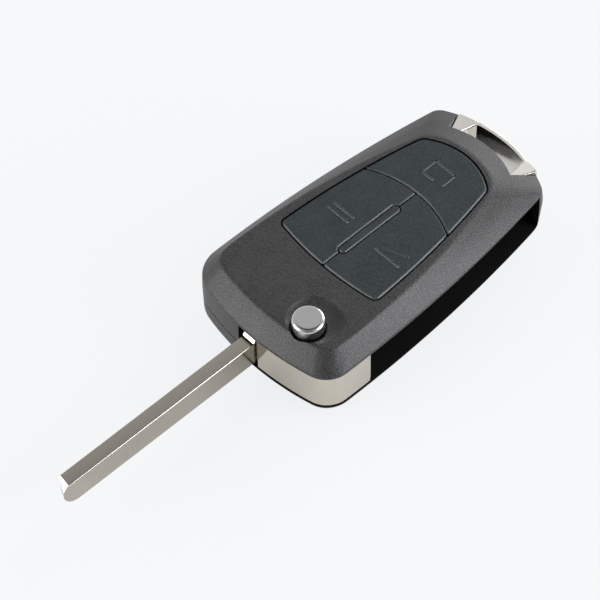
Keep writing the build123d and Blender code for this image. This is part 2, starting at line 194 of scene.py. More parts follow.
# Solid of revolution about a vertical axis; the profile's radii and heights run from bottom to top.
def turned(name, x, y, profile, count=128):
    return skin(name, [[(px, py, z) for px, py in circlePoints(x, y, r, count)] for r, z in profile])


def discard(made):
    mesh = made.data
    bpy.data.objects.remove(made)
    bpy.data.meshes.remove(mesh)


# Puts the result of an object's modifiers into its mesh.
def applied(made):
    graph = bpy.context.evaluated_depsgraph_get()
    fresh = bpy.data.meshes.new_from_object(made.evaluated_get(graph))
    made.modifiers.clear()
    old = made.data
    made.data = fresh
    bpy.data.meshes.remove(old)
    return made


def combine(target, others, how):
    for other in others:
        step = target.modifiers.new("cut", "BOOLEAN")
        step.operation = how
        step.solver = "EXACT"
        step.object = other
        applied(target)
        discard(other)
    return target


def cut(target, *others):
    return combine(target, others, "DIFFERENCE")


def add(target, *others):
    return combine(target, others, "UNION")


def keep(target, *others):
    return combine(target, others, "INTERSECT")


# Outlines

bodyShape = {"front": -7.4, "rear": 60.2, "width": 37.8, "middleX": 5.0, "side": 300.0, "nose": 62.0,
             "tail": 28.0, "noseCorners": (5.5, 7.2), "tailCorner": 3.0, "fixedTail": True}
fieldShape = {"front": -3.6, "rear": 50.3, "width": 31.2, "middleX": 4.0, "side": 150.0, "nose": 62.0,
              "tail": 20.0, "noseCorners": (3.6, 4.2), "tailCorner": 6.0, "fixedTail": False}
padShape = {"front": 11.6, "rear": 49.1, "width": 25.84, "middleX": 8.0, "side": 178.0, "nose": 69.0,
            "tail": 14.2, "noseCorners": (1.2, 1.2), "tailCorner": 2.0, "fixedTail": False}


tiny = 1e-9
halvings = 44  # steps of the search for an outline's distance
turningWeight = 1.2  # how many points follow the turning, against the length


# Front or rear point where two circles cross.
def meeting(a, b, nearFront):
    (ax, ay, ar), (bx, by, br) = a, b
    gap = np.hypot(bx - ax, by - ay)
    along = (ar ** 2 - br ** 2 + gap ** 2) / (2 * gap)
    offset = np.sqrt(max(ar ** 2 - along ** 2, 0.0))
    ux, uy = (bx - ax) / gap, (by - ay) / gap
    found = [(ax + along * ux + s * offset * uy, ay + along * uy - s * offset * ux) for s in (1, -1)]
    return min(found) if nearFront else max(found)


# Distance from points to the area that all the discs share.
def distanceTo(points, discs, corners):
    best = np.full(len(points), np.inf)
    inside = np.ones(len(points), bool)
    for n, (x, y, r) in enumerate(discs):
        away = points - (x, y)
        length = np.hypot(away[:, 0], away[:, 1])
        inside &= length <= r
        foot = (x, y) + away * (r / np.maximum(length, tiny))[:, None]
        fits = length > r
        for m, (ox, oy, orr) in enumerate(discs):
            if m != n:
                fits &= np.hypot(foot[:, 0] - ox, foot[:, 1] - oy) <= orr + tiny
        best = np.where(fits, np.minimum(best, length - r), best)
    for x, y in corners:
        best = np.minimum(best, np.hypot(points[:, 0] - x, points[:, 1] - y))
    return np.where(inside, 0.0, best)


# Points of a bowed outline with rounded corners, seen from a middle point at the given angles.
def outline(shape, angles, middle, inset=0.0, rearInset=None, corner=None):
    rear = shape["rear"] if rearInset is None else shape["rear"] + inset - rearInset
    if corner is None:
        corner = shape["tailCorner"] - (0.0 if shape["fixedTail"] else inset)
    rise = shape["side"] - shape["width"] / 2
    result = np.zeros((len(angles), 2))
    direction = np.stack([np.cos(angles), np.sin(angles)], 1)
    for isFront, isLeft in ((True, True), (True, False), (False, True), (False, False)):
        chosen = ((direction[:, 0] < 0) == isFront) & ((direction[:, 1] > 0) == isLeft)
        r = shape["noseCorners"][isLeft] - inset if isFront else corner
        if isFront:
            end = (shape["front"] + shape["nose"], centreY, shape["nose"] - inset - r)
        else:
            end = (rear - shape["tail"], centreY, shape["tail"] - inset - r)
        flank = shape["side"] - inset - r
        discs = [(shape["middleX"], centreY + rise, flank), (shape["middleX"], centreY - rise, flank), end]
        corners = [meeting(disc, end, isFront) for disc in discs[:2]]
        low = np.zeros(chosen.sum())
        high = np.full(chosen.sum(), beyond)
        for _ in range(halvings):
            half = (low + high) / 2
            outside = distanceTo(middle + direction[chosen] * half[:, None], discs, corners) > r
            high = np.where(outside, half, high)
            low = np.where(outside, low, half)
        result[chosen] = middle + direction[chosen] * low[:, None]
    return result


# Angles that share out an outline's length and its turning.
def evenAngles(shape, middle, count):
    fine = np.linspace(-pi, pi, 2880, endpoint=False)
    points = outline(shape, fine, middle)
    step = np.roll(points, -1, 0) - points
    length = np.hypot(step[:, 0], step[:, 1])
    heading = np.unwrap(np.arctan2(step[:, 1], step[:, 0]))
    turning = np.abs(np.diff(heading, append=heading[:1] + 2 * pi))
    weight = np.cumsum(length / length.sum() + turningWeight * turning / turning.sum())
    weight = np.concatenate([[0.0], weight])
    return np.interp(np.linspace(0, weight[-1], count, endpoint=False), weight, np.append(fine, pi))


bodyMiddle = np.array([26.0, centreY])
bodyAngles = evenAngles(bodyShape, bodyMiddle, 288)
padMiddle = np.array([29.0, centreY])
padAngles = evenAngles(padShape, padMiddle, 240)


def bodyPlan(inset=0.0, rearInset=None, corner=None):
    return outline(bodyShape, bodyAngles, bodyMiddle, inset, rearInset, corner)


def padPlan(inset=0.0):
    return outline(padShape, padAngles, padMiddle, inset)


# Housing

housing = {"partingZ": 6.8, "grooveDepth": 0.25, "grooveHalf": 0.1, "grooveEdge": 0.08, "wall": 1.7,
           "floorZ": 1.8, "skinZ": 15.3, "coveZ": 12.0, "coveInset": 3.0, "topZ": 16.6, "roomBottom": 3.45,
           "roomTop": 12.25, "innerWall": 1.2}
fieldPlan = outline(fieldShape, bodyAngles, bodyMiddle)


def between(outer, inner, part):
    return outer + (inner - outer) * part


def ringAt(plan, z):
    return np.column_stack([plan, np.full(len(plan), z)])


levels = [  # height, plan and how far its edge is rounded
    (0.0, bodyPlan(3.2, 2.4, 4.5), 0.5),
    (3.0, bodyPlan(0.1, 0.7, 4.5), 0.8),
    (9.6, bodyPlan(), 0.8),
    (12.7, bodyPlan(0.12, 0.35), 0.3),
    (14.6, between(bodyPlan(0.12, 0.35), fieldPlan, 0.44), 1.3),
    (16.6, fieldPlan, 0.55),
]


longest = 0.45  # share of a side that one rounding may take
inwardShare = 0.12


# Share of the way to the next ring that a rounding takes, point by point.
def roundingShare(here, there, rounding):
    return np.minimum(longest, rounding / np.linalg.norm(there - here, axis=1))[:, None]


# Heights and plans of the closed housing, with each level's edge rounded.
def softProfile():
    plans = [ringAt(plan, z) for z, plan, _ in levels]
    inward = [plan.copy() for plan in (plans[0], plans[-1])]
    for ring in inward:
        ring[:, :2] += (bodyMiddle - ring[:, :2]) * inwardShare
    rows = [inward[0], *plans, inward[1]]
    rings = []
    for n, (_, _, rounding) in enumerate(levels):
        before, here, after = rows[n], rows[n + 1], rows[n + 2]
        a = here + (before - here) * roundingShare(here, before, rounding)
        b = here + (after - here) * roundingShare(here, after, rounding)
        for t in np.linspace(0, 1, 6):
            rings.append((1 - t) ** 2 * a + 2 * t * (1 - t) * here + t ** 2 * b)
        if n < len(levels) - 1:
            nearEnd = here + (after - here) * (1 - roundingShare(here, after, levels[n + 1][2]))
            for t in (0.33, 0.67):
                rings.append(b + (nearEnd - b) * t)
    return rings


# The closed housing's plan at one height of its side.
def planAt(rings, z):
    for lower, upper in zip(rings[:-1], rings[1:]):
        if lower[0, 2] <= z < upper[0, 2]:
            part = (z - lower[0, 2]) / (upper[0, 2] - lower[0, 2])
            return between(lower, upper, part)[:, :2]


# A plan moved inwards by a depth.
def stepped(plan, depth):
    away = bodyMiddle - plan
    return plan + away * (depth / np.hypot(away[:, 0], away[:, 1]))[:, None]


sideRings = softProfile()
partingPlan = planAt(sideRings, housing["partingZ"])


# Half of the parting groove with its rounded edge, from the parting plane up (1) or down (-1).
def grooveRings(side):
    depth, edge = housing["grooveDepth"], housing["grooveEdge"]
    z = housing["partingZ"] + side * housing["grooveHalf"]
    steps = [(depth, housing["partingZ"]), (depth, z), (edge, z), (edge * 0.3, z + side * edge * 0.3),
             (0, z + side * edge)]
    return [ringAt(stepped(partingPlan, inset), height) for inset, height in steps]


grooveClear = housing["grooveHalf"] + 2 * housing["grooveEdge"]
upperRings = grooveRings(1) + [ring for ring in sideRings if ring[0, 2] > housing["partingZ"] + grooveClear]
lowerRings = [ring for ring in sideRings if ring[0, 2] < housing["partingZ"] - grooveClear]
lowerRings += reversed(grooveRings(-1))

swing = {"radius": 13.08, "windowY": 11.4, "inner": 7.0, "gap": 0.5, "reach": 54.95, "fold": radians(4),
         "endZ": 8.9, "endRun": 1.9}


# Point at a distance along the folded blade's line and at another aside of it.
def foldedPoint(along, across):
    c, s = cos(swing["fold"]), sin(swing["fold"])
    return along * c + across * s, along * s - across * c


# What the head and the folding blade sweep or rest in.
def swingPrisms(grow, low, high):
    inner = swing["inner"] - swing["gap"] - grow
    strip = [foldedPoint(*p) for p in ((0, inner), (beyond, inner), (beyond, beyond), (0, beyond))]
    reach = rod("reach", 0, 0, swing["reach"] + grow, low - 1, high + 1, 256)
    return [rod("turnRoom", 0, 0, swing["radius"] + grow, low, high, 160),
            brick("frontRoom", -aside, 0, -aside, swing["windowY"] + grow, low, high),
            keep(prism("bladeRoom", strip, low, high), reach)]


# The swept room as one cutter, its far end sloped like the blade's tip; it leaves the near-black painted
# shade on the slot's walls.
def swingRoom():
    low, high = housing["roomBottom"], housing["roomTop"]
    turn, *others = swingPrisms(0, low, high)
    room = add(turn, *others)
    run = swing["endRun"] * (high + 1 - swing["endZ"]) / (high - swing["endZ"])
    slope = [(swing["reach"], swing["endZ"]), (swing["reach"], high + 1), (swing["reach"] - run, high + 1)]
    end = skin("slotEnd", [[(*foldedPoint(d, across), z) for d, z in slope] for across in (beyond, 0)])
    return plasticAndPaintedShade(cut(room, end), True)


loopSizes = {"bottom": 3.6, "top": 12.8, "inset": 0.15, "band": 1.0, "notchX": 54.9, "notchRadius": 18.0,
             "shoulderHalf": 8.4, "shoulderBack": 1.9, "flareX": 14.7, "flareY": 7.05, "barDepth": 2.2,
             "gap": 0.1, "slotHalf": 7.3, "slotTaper": 1.3, "chamfer": 0.19, "chamferBack": 3, "edge": 0.14,
             "rearSlope": 0.12, "rearLevelX": 58, "rightRise": 1.1, "rightDip": 0.35, "landInner": 3,
             "landOuter": 4}


# Plan whose sides are alike on both sides of the housing's middle line.
def mirrored(side):
    return [(x, centreY - y) for x, y in side] + [(x, centreY + y) for x, y in reversed(side)]


# What the loop's two shoulders stand between.
def shoulderPlan(grow=0.0):
    half = loopSizes["shoulderHalf"] + grow
    bend = loopSizes["notchX"] - loopSizes["shoulderBack"]
    wideX = bend + loopSizes["flareX"]
    wideHalf = half + loopSizes["flareY"]
    return mirrored([(bend - loopSizes["notchRadius"], half), (bend, half), (wideX, wideHalf)])


def notchRod(grow, low, high):
    return rod("notch", loopSizes["notchX"] - loopSizes["notchRadius"], centreY,
               loopSizes["notchRadius"] + grow, low, high, 320)


# Cutters for the space that the loop closes off and for the bar that joins its shoulders.
def loopPockets():
    below, above = -1, 18
    behind = cut(prism("behind", shoulderPlan(), below, above), notchRod(0, below - 1, above + 1))
    low, high = loopSizes["bottom"] - loopSizes["gap"], loopSizes["top"] + loopSizes["gap"]
    bar = keep(prism("barRoom", shoulderPlan(), low, high), notchRod(1, low - 1, high + 1))
    bar = cut(bar, notchRod(-loopSizes["barDepth"] - loopSizes["gap"], low - 1, high + 1))
    return [behind, bar]


# Keeps only the biggest of the solids in a mesh.
def largestPart(made):
    work = bmesh.new()
    work.from_mesh(made.data)
    left = set(work.verts)
    parts = []
    while left:
        seed = left.pop()
        group = {seed}
        stack = [seed]
        while stack:
            for link in stack.pop().link_edges:
                for v in link.verts:
                    if v in left:
                        left.discard(v)
                        group.add(v)
                        stack.append(v)
        parts.append(group)
    biggest = max(parts, key=lambda g: max(v.co.x for v in g) - min(v.co.x for v in g))
    bmesh.ops.delete(work, geom=[v for g in parts if g is not biggest for v in g], context="VERTS")
    work.to_mesh(made.data)
    work.free()
    return made


# Room for the board, the cell and the immobiliser block; its cut faces get the near-black painted shade.
def worksRoom(inset, low, high):
    room = prism("works", bodyPlan(inset), low, high)
    rearWall = loopSizes["notchX"] - loopSizes["barDepth"] - loopSizes["gap"] - housing["wall"]
    cut(room, *swingPrisms(housing["innerWall"], low - 1, high + 1))
    cut(room, brick("behindWall", rearWall, beyond, -aside, aside, low - 1, high + 1))
    return plasticAndPaintedShade(largestPart(room), True)


pad = {"gap": 0.25, "trayGrow": 1.3, "trayClear": 0.15, "pocketZ": 13.05, "pocketCove": 13.75, "edge": 0.14}
dish = {"radius": 5.6, "depth": 0.75, "shift": 1.8, "steep": 6, "rim": 0.12, "rimLift": 0.03, "flare": 0.5,
        "mouth": 3.5, "mouthDepth": 0.6, "mouthEdge": 0.12, "mouthFoot": 0.04, "mouthFlare": 0.15}

# Radius, bottom and top of the shells' bores and of the post.
bores = {"button": (3.28, 12.1, 16.6), "collar": (5.55, 11.1, 13.25), "foot": (4.55, 2.35, 4.6)}
post = (1.5, 2.3, 12.8)


# Cutter for the key pad's window, flared at the top so that the window's edge is rounded. Its cut faces get
# the near-black painted shade of the gap around the pad.
def padWindow():
    top = housing["topZ"]
    rings = [ringAt(padPlan(-pad["gap"]), housing["skinZ"] - 1)]
    steps = 5
    for n in range(steps + 1):
        turn = n / steps * pi / 2
        grow = pad["edge"] * (1 - cos(turn))
        rings.append(ringAt(padPlan(-pad["gap"] - grow), top - pad["edge"] * (1 - sin(turn))))
    rings.append(ringAt(padPlan(-pad["gap"] - pad["edge"]), top + 1))
    return plasticAndPaintedShade(skin("window", rings), True)


# Shallow round dish whose rim eases into the top.
def dishCutter():
    top, steps = housing["topZ"], 24
    profile = []
    for n in range(1, steps + 1):
        part = n / steps
        profile.append((dish["radius"] * part, top - dish["depth"] * (1 - part ** dish["steep"])))
    profile.append((dish["radius"] + dish["rim"], top + dish["rimLift"]))
    profile.append((dish["radius"] + dish["flare"], top + 1))
    return turned("dish", dish["shift"], 0, profile)


# Hole for the button, with a rounded edge at the bottom of the dish.
def mouthCutter():
    r, edge, z = dish["mouth"], dish["mouthEdge"], housing["topZ"] - dish["depth"]
    return turned("mouth", 0, 0, [(r, z - dish["mouthDepth"]), (r, z - edge), (r + dish["mouthFoot"], z),
                                  (r + edge, z + edge), (r + dish["mouthFlare"], housing["topZ"] + 1)])


grooveFaces = 2 * len(bodyAngles)
upperShell = plasticAndPaintedShade(skin("upperShell", upperRings))
# The parting groove's faces get the near-black painted shade.
for face in upperShell.data.polygons[:grooveFaces]:
    face.material_index = 1
cut(upperShell, worksRoom(housing["wall"], housing["partingZ"] - 1, housing["coveZ"]))
cut(upperShell, worksRoom(housing["coveInset"], housing["partingZ"] - 1, pad["pocketCove"]))
trayRoom = padPlan(-pad["trayGrow"] - pad["trayClear"])
cut(upperShell, prism("trayRoom", trayRoom, pad["pocketZ"], housing["skinZ"]))
cut(upperShell, swingRoom())
cut(upperShell, *loopPockets())
cut(upperShell, padWindow(), dishCutter(), mouthCutter())
cut(upperShell, rod("buttonBore", 0, 0, *bores["button"]), rod("collarBore", 0, 0, *bores["collar"]))
print("upper shell cut")

lowerShell = plasticAndPaintedShade(skin("lowerShell", lowerRings))
# The parting groove's faces get the near-black painted shade.
for face in lowerShell.data.polygons[-grooveFaces - 2:-2]:
    face.material_index = 1
cut(lowerShell, worksRoom(housing["wall"], housing["floorZ"], housing["partingZ"] + 1))
cut(lowerShell, swingRoom())
cut(lowerShell, *loopPockets())
cut(lowerShell, rod("footBore", 0, 0, *bores["foot"]))
add(lowerShell, rod("post", 0, 0, *post))
print("lower shell cut")


# Finish of a mesh

# Rounds every edge sharper than an angle.
def soften(made, width, segments=3, angle=40):
    step = made.modifiers.new("round", "BEVEL")
    step.width = width * mm
    step.segments = segments
    step.limit_method = "ANGLE"
    step.angle_limit = radians(angle)
    step.miter_outer = "MITER_ARC"
    step.use_clamp_overlap = False
    return applied(made)


# Smooth shading that keeps flat faces flat.
def smoothed(made, angle=35):
    mesh = made.data
    mesh.polygons.foreach_set("use_smooth", [True] * len(mesh.polygons))
    mesh.set_sharp_from_angle(angle=radians(angle))
    step = made.modifiers.new("even", "WEIGHTED_NORMAL")
    step.keep_sharp = True
    return applied(made)


# One object from several closed meshes.
def joined(name, pieces):
    work = bmesh.new()
    for piece in pieces:
        work.from_mesh(piece.data)
        discard(piece)
    mesh = bpy.data.meshes.new(name)
    work.to_mesh(mesh)
    work.free()
    made = bpy.data.objects.new(name, mesh)
    bpy.context.scene.collection.objects.link(made)
    return made


# Key-ring loop

# Cuts the wide chamfers at the ends of the slot and beside the shoulders.
def loopChamfers(loop):
    size = loopSizes
    slotHalf, frontX = size["slotHalf"] - size["slotTaper"], size["notchX"] - size["chamferBack"]
    nearTop, shortest = 0.01, 0.5
    work = bmesh.new()
    work.from_mesh(loop.data)
    chosen = []
    for line in work.edges:
        a, b = [v.co / mm for v in line.verts]
        flat = min(a.z, b.z) > size["top"] - nearTop
        across = abs((a.y + b.y) / 2 - centreY)
        alongX = abs(a.x - b.x) > max(abs(a.y - b.y), shortest)
        if flat and alongX and across > slotHalf and min(a.x, b.x) > frontX:
            chosen.append(line)
    bmesh.ops.bevel(work, geom=chosen, offset=size["chamfer"] * mm, segments=1, affect="EDGES")
    work.to_mesh(loop.data)
    work.free()


# Slopes the top rearwards, and turns the land beside the right shoulder up towards it.
def tiltLands(loop):
    size = loopSizes
    slotEnd = centreY - size["slotHalf"] + size["slotTaper"] / 2
    stations = (slotEnd - size["landOuter"], slotEnd, centreY - size["landInner"])
    work = bmesh.new()
    work.from_mesh(loop.data)
    for y in stations[1:]:
        everything = work.verts[:] + work.edges[:] + work.faces[:]
        bmesh.ops.bisect_plane(work, geom=everything, plane_co=(0, y * mm, 0), plane_no=(0, 1, 0))
    for v in work.verts:
        if v.co.z > (size["top"] - 1) * mm:
            rise = size["rearSlope"] * (size["rearLevelX"] - v.co.x / mm)
            dip = np.interp(v.co.y / mm, stations, (size["rightRise"], -size["rightDip"], 0))
            v.co.z += (rise + dip) * mm
    work.to_mesh(loop.data)
    work.free()


# The loop; its bar's hidden wall gets the near-black painted shade.
def loopFrame():
    size = loopSizes
    low, high = size["bottom"], size["top"]
    loop = keep(prism("keyringLoop", bodyPlan(size["inset"]), low, high),
                prism("between", shoulderPlan(-size["gap"]), low - 1, high + 1))
    cut(loop, notchRod(-size["barDepth"], low - 1, high + 1))
    near = size["notchX"] - size["shoulderBack"]
    half = size["slotHalf"]
    side = [(near - size["barDepth"], half), (near, half), (bodyShape["rear"], half - size["slotTaper"])]
    plan = mirrored(side)
    slot = keep(prism("slot", plan, low - 1, high + 1),
                rod("slotBack", bodyShape["rear"] - bodyShape["tail"], centreY,
                    bodyShape["tail"] - size["band"], low - 2, high + 2, 512))
    cut(slot, notchRod(-size["gap"], low - 2, high + 2))
    cut(loop, slot)
    loopChamfers(loop)
    soften(loop, size["edge"], 2, 30)
    tiltLands(loop)
    loop.data.materials.append(brightPlating)
    loop.data.materials.append(paintedShade)
    # Faces on the notch wall get the painted shade.
    sameRadius, upright = 0.05, 0.1
    for face in loop.data.polygons:
        away = face.center.xy / mm - Vector((size["notchX"] - size["notchRadius"], centreY))
        onWall = abs(away.length - size["notchRadius"] + size["gap"]) < sameRadius
        if onWall and abs(face.normal.z) < upright:
            face.material_index = 1
    return loop


# Pivot block and blade

headSizes = {"low": 3.6, "high": 12.1, "endX": 6.8, "hub": 6.6, "notchY": 6.6, "inset": 0.3, "front": -6.4,
             "outer": 10.5, "tang": 2.0, "endRound": 1.2, "edge": 0.3, "facetRun": 0.7, "facetDrop": 0.95,
             "stepFront": -7.5, "stepRun": 0.5, "stepTop": 11.5, "stepRear": -6.0, "stepEdge": 0.08,
             "socketGap": 0.03, "collar": 5.5, "collarTop": 13.1, "foot": 4.5, "footLow": 2.5, "bore": 4.08,
             "boreLow": 4.4, "keywayHalf": 1.1, "keywayReach": 4.88, "keywayLow": 9.5, "postRoom": 1.7,
             "overlap": 0.5}
bladeSizes = {"length": 54.0, "inner": 7.0, "outer": 10.0, "low": 4.85, "high": 10.85, "tipRound": 3.4,
              "slant": 0.5, "bevelStart": 1.2, "bevelSkew": 0.15, "bevelSlope": 1.0, "edge": 0.23}


# Outline of the pivot block: the band along the housing's corner, the hub and the blade's socket.
def headPlan():
    size = headSizes
    wall = bodyPlan(size["inset"])
    quarter = wall[bodyAngles < -pi / 2]
    startX = np.interp(-size["notchY"], -quarter[:, 1], quarter[:, 0])
    middleX = size["endX"] - size["endRound"]
    sideY = np.interp(middleX, *quarter[quarter[:, 1] < 0].T)
    gap = 0.05
    plan = [(startX, size["notchY"])]
    plan += [(x, y) for x, y in quarter if y < size["notchY"] - gap and x < middleX - gap]
    for a in np.linspace(-pi / 2, 0, 12):
        plan.append((middleX + size["endRound"] * cos(a), sideY + size["endRound"] * (1 + sin(a))))
    plan.append((size["endX"], 0.0))
    for a in np.linspace(0, np.arccos(size["tang"] / size["hub"]), 24):
        plan.append((size["hub"] * cos(a), size["hub"] * sin(a)))
    plan += [(size["tang"], size["outer"]), (size["front"], size["outer"]), (size["front"], size["notchY"])]
    return plan


# The block with its facet, the blade's socket, the small step over it, and the bore that holds the button.
def pivotBlock():
    size = headSizes
    low, high = size["low"], size["high"]
    head = prism("bladeHead", headPlan(), low, high)
    run = size["facetRun"] + 1
    drop = size["facetDrop"] * run / size["facetRun"]
    topX = size["front"] + size["facetRun"]
    frontX, leftY = -9, 12
    facet = [(topX - 2 * run, high + 1), (topX - 2 * run, high - 2 * drop), (topX, high), (topX, high + 1)]
    cut(head, skin("facet", [[(x, y, z) for x, z in facet] for y in (leftY, size["notchY"])]))
    soften(head, size["edge"], 3, 40)
    gap = size["socketGap"]
    inner, outer = bladeSizes["inner"], bladeSizes["outer"]
    cut(head, brick("socket", frontX, size["tang"] + gap, inner - gap, outer + gap, bladeSizes["low"] - gap,
                    bladeSizes["high"] + gap))
    front, rear = size["stepFront"], size["stepRear"]
    foot, top = bladeSizes["high"] + 2 * gap, size["stepTop"]
    step = [(front, foot), (rear, foot), (rear, top), (front + size["stepRun"], top)]
    step = skin("step", [[(x, y, z) for x, z in step] for y in (outer, inner)])
    add(head, soften(step, size["stepEdge"], 2, 40))
    overlap = size["overlap"]
    add(head, rod("collar", 0, 0, size["collar"], high - overlap, size["collarTop"], 128),
        rod("foot", 0, 0, size["foot"], size["footLow"], low + overlap, 128))
    below, inBore, above = 2, 5, 14
    half, far = size["keywayHalf"], size["keywayReach"]
    cut(head, rod("bore", 0, 0, size["bore"], size["boreLow"], above),
        brick("keyway", -half, half, -far, far, size["keywayLow"], above),
        rod("postRoom", 0, 0, size["postRoom"], below, inBore, 64))
    return head


# The plain blank with its rounded tip, the slanted end and the bevel on top of it.
def blankBlade():
    size = bladeSizes
    low, high, tip, r = size["low"], size["high"], -size["length"], size["tipRound"]
    side = [(headSizes["tang"], low), (headSizes["tang"], high), (tip, high)]
    side += [(tip + r - r * cos(a), low + r - r * sin(a)) for a in np.linspace(0, pi / 2, 24)]
    blade = skin("keyBlade", [[(x, y, z) for x, z in side] for y in (size["inner"], size["outer"])])
    run, inner = 6.0, size["inner"]
    slant = [(tip, inner), (tip + size["slant"] * run, inner + run), (tip - run, inner + run),
             (tip - run, inner)]
    cut(blade, prism("slant", slant, 0, 20))
    wedge = []
    for y in (inner - 1, size["outer"] + 1):
        start = tip + size["bevelStart"] + size["bevelSkew"] * (y - inner)
        shape = [(start, high), (start - run, high - size["bevelSlope"] * run), (start - 2 * run, 0),
                 (start - 2 * run, high + 1), (start, high + 1)]
        wedge.append([(x, y, z) for x, z in shape])
    cut(blade, skin("tipBevel", wedge))
    return soften(blade, size["edge"], 3, 50)


# Release button

buttonSizes = {"top": 19.0, "radius": 3.2, "edge": 0.75, "flat": 0.3, "low": 11.6, "flangeTop": 13.1,
               "flange": 4.0, "hollow": 1.6, "middle": 1.2, "lugHalf": 1, "lugReach": 4.8, "bore": 1.65,
               "boreTop": 15.1}


# Polished cap on its flange, with the two lugs that run in the pivot block's keyway.
def pushButton():
    size = buttonSizes
    low, high, top = size["low"], size["flangeTop"], size["top"]
    r, edge, half, far = size["radius"], size["edge"], size["lugHalf"], size["lugReach"]
    profile = [(size["hollow"], low), (size["flange"], low), (size["flange"], high), (r, high)]
    profile.append((r, top - edge))
    for a in np.linspace(0.12, pi / 2, 12):
        profile.append((r - edge + edge * cos(a), top - edge + edge * sin(a)))
    profile += [(r - edge - size["flat"], top), (size["middle"], top)]
    button = add(turned("releaseButton", 0, 0, profile), brick("lugs", -half, half, -far, far, low, high))
    return cut(button, rod("postBore", 0, 0, size["bore"], low - 0.6, size["boreTop"]))


# Coil under the button

spring = {"radius": 3.25, "wire": 0.7, "turns": 3.0, "low": 4.42, "high": 11.58, "foot": 4.4, "sink": 1.8}


# Tree that winds a round wire into a coil that stands on its origin.
def coilTree():
    tree = bpy.data.node_groups.new("coil", "GeometryNodeTree")
    nodes, links = tree.nodes, tree.links
    for name in ("Radius", "Wire", "Turns", "Height"):
        tree.interface.new_socket(name, in_out="INPUT", socket_type="NodeSocketFloat")
    tree.interface.new_socket("Surface", in_out="INPUT", socket_type="NodeSocketMaterial")
    tree.interface.new_socket("Geometry", in_out="OUTPUT", socket_type="NodeSocketGeometry")
    given = nodes.new("NodeGroupInput")
    coil = nodes.new("GeometryNodeCurveSpiral")
    coil.inputs["Resolution"].default_value = 48
    links.new(given.outputs["Turns"], coil.inputs["Rotations"])
    links.new(given.outputs["Radius"], coil.inputs["Start Radius"])
    links.new(given.outputs["Radius"], coil.inputs["End Radius"])
    links.new(given.outputs["Height"], coil.inputs["Height"])
    wire = nodes.new("GeometryNodeCurvePrimitiveCircle")
    wire.inputs["Resolution"].default_value = 14
    links.new(given.outputs["Wire"], wire.inputs["Radius"])
    sweep = nodes.new("GeometryNodeCurveToMesh")
    sweep.inputs["Fill Caps"].default_value = True
    links.new(coil.outputs["Curve"], sweep.inputs["Curve"])
    links.new(wire.outputs["Curve"], sweep.inputs["Profile Curve"])
    real = nodes.new("GeometryNodeRealizeInstances")
    links.new(sweep.outputs["Mesh"], real.inputs["Geometry"])
    paint = nodes.new("GeometryNodeSetMaterial")
    links.new(real.outputs["Geometry"], paint.inputs["Geometry"])
    links.new(given.outputs["Surface"], paint.inputs["Material"])
    links.new(paint.outputs["Geometry"], nodes.new("NodeGroupOutput").inputs["Geometry"])
    return tree


# The coil, taken from its tree as a plain mesh and stood on its seat.
def coilSpring():
    size = spring
    made = meshObject("flipSpring", [(0, 0, 0)], [])
    step = made.modifiers.new("coil", "NODES")
    step.node_group = coilTree()
    values = {"Radius": size["radius"] * mm, "Wire": size["wire"] / 2 * mm, "Turns": size["turns"],
              "Height": (size["high"] - size["low"] - size["wire"]) * mm, "Surface": springSteel}
    for socket in step.node_group.interface.items_tree:
        if socket.in_out == "INPUT":
            step[socket.identifier] = values[socket.name]
    applied(made)
    made.data.transform(Matrix.Translation((0, 0, (size["low"] + size["wire"] / 2) * mm)))
    work = bmesh.new()
    work.from_mesh(made.data)
    bmesh.ops.recalc_face_normals(work, faces=work.faces)
    work.to_mesh(made.data)
    work.free()
    return made


# Key pad

keySizes = {"gap": 0.2, "dividerX": 36.0, "dividerR": 23.2, "bottom": 14.45, "top": 16.75, "skirtTop": 15.15,
            "skirtOut": 0.55, "skirtIn": 0.3, "stem": 1.3, "stemLow": 11.9, "stemRoot": 0.3, "edge": 0.26}
tray = {"low": 13.2, "high": 15.3, "wallInset": 0.7, "floorZ": 13.9, "stemRoom": 1.6, "stemLow": 12,
        "stemTop": 15}
barSizes = {"front": 16.0, "rear": 31.3, "width": 1.7, "flat": 0.1, "low": 13.5, "edge": 0.24}
keyPlaces = {"left": (23.6, 14.2), "right": (23.6, 2.4), "rear": (41.5, 8.3)}


# Plan of the slim bar between the caps, with round ends.
def barPlan(grow):
    size = barSizes
    half = size["width"] / 2 + grow
    r = half - size["flat"] / 2
    front, rear = size["front"] - grow + r, size["rear"] + grow - r
    plan = []
    for x, y, start in ((rear, r - half, -pi / 2), (rear, half - r, 0), (front, half - r, pi / 2),
                        (front, r - half, pi)):
        for a in np.linspace(start, start + pi / 2, 9):
            plan.append((x + r * cos(a), centreY + y + r * sin(a)))
    return plan


# Gives the sloped faces a lighter, less rough rubber; the lighter colour is a painted highlight along the
# edges and marks.
def highlightSlopes(made):
    steepest, flattest = 0.3, 0.95
    for face in made.data.polygons:
        face.material_index = int(steepest < face.normal.z < flattest)
    return made


# Cuts a piece of the pad down to one cap's side of the gaps.
def share(made, which, low, high):
    size = keySizes
    half = size["gap"] / 2
    x = size["dividerX"] - size["dividerR"]
    if which == "rear":
        return cut(made, rod("divider", x, centreY, size["dividerR"] + half, low, high, 360))
    keep(made, rod("divider", x, centreY, size["dividerR"] - half, low, high, 360))
    waste = (-aside, centreY + half) if which == "left" else (centreY - half, aside)
    return cut(made, brick("otherSide", -aside, beyond, *waste, low, high))


